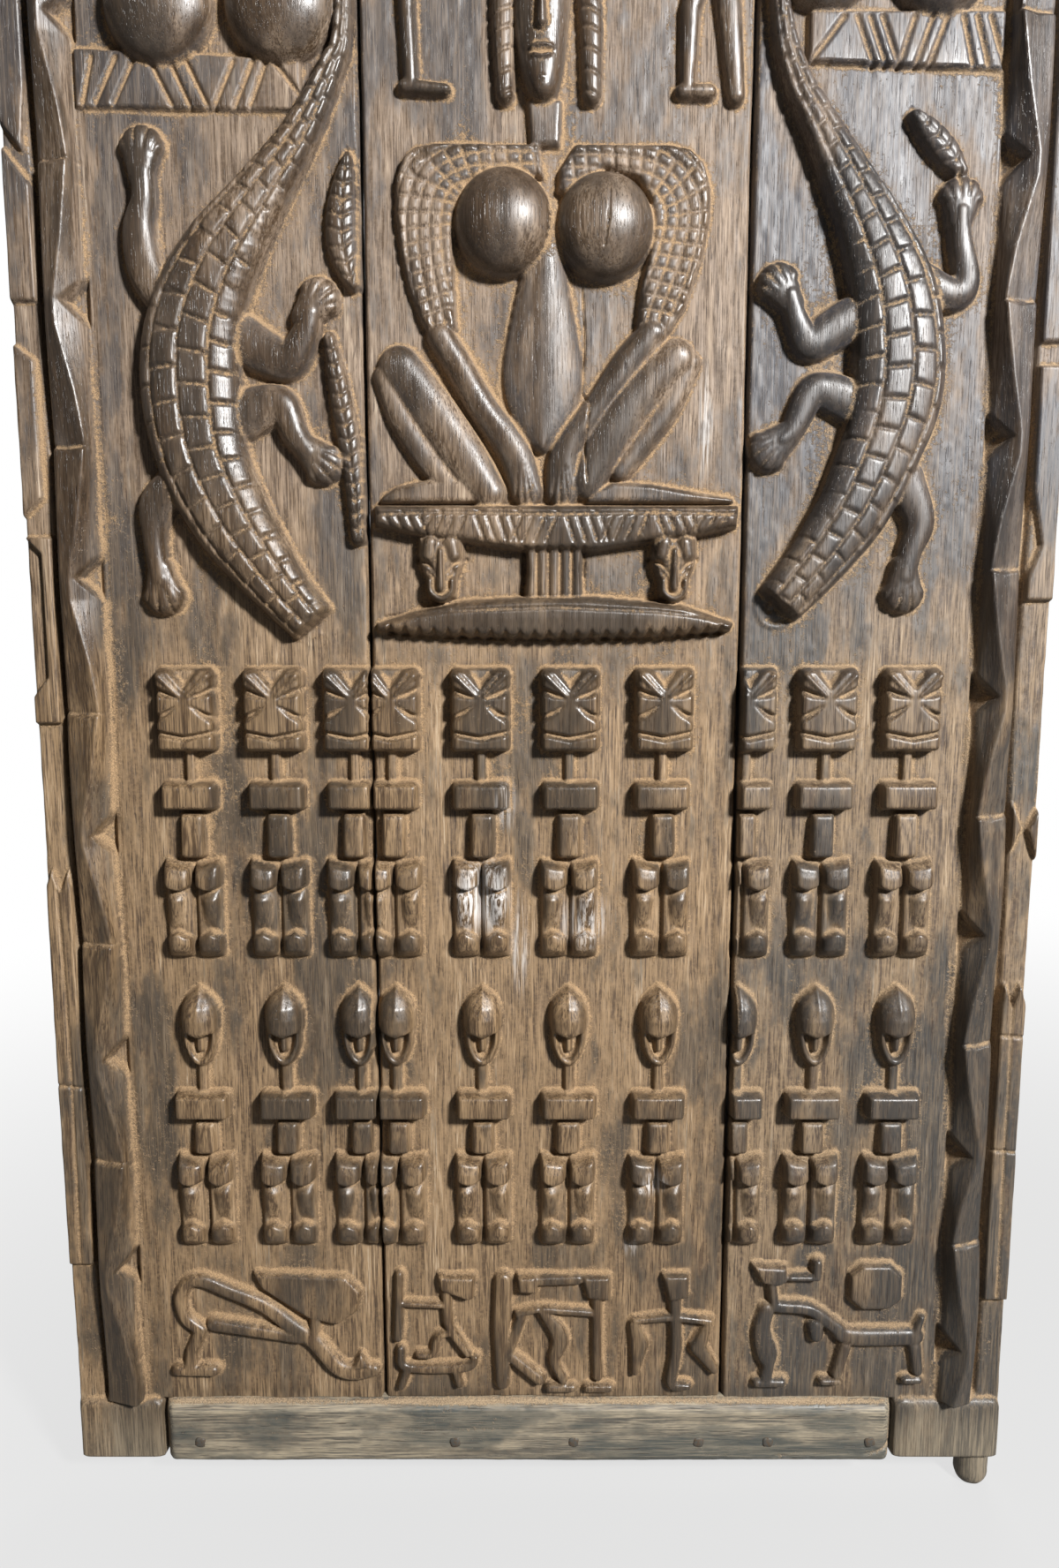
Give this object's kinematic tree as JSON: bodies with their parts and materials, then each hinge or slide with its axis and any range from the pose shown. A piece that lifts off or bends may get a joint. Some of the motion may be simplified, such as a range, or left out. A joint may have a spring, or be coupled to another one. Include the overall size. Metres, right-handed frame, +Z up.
{
  "type": "carved plank door",
  "caption": "Heavy carved plank door leaf for a granary, turning on two wooden pivots cut from its right plank, with a nailed sill board and back battens.",
  "frame": {"origin": "on the pivot axis, at the shoulder where the lower pivot leaves the plank", "axes": "+X to the right along the front, +Y to the back, away from the carving, +Z up along the pivots"},
  "size_m": [1.22, 0.134, 2.21],
  "materials": {
    "plank_wood": "carved hardwood with a dark worn patina and sandy dust in the cuts",
    "sill_wood": "weathered grey-brown board",
    "batten_wood": "rough adzed board",
    "nail_iron": "forged iron with rust"
  },
  "bodies": {
    "root": {"left_plank": "plank_wood", "centre_plank": "plank_wood", "right_plank": "plank_wood", "sill_board": "sill_wood", "sill_nails": "nail_iron", "lower_batten": "batten_wood", "middle_batten": "batten_wood", "upper_batten": "batten_wood", "lower_batten_nails": "nail_iron", "middle_batten_nails": "nail_iron", "upper_batten_nails": "nail_iron"}
  },
  "joints": []
}
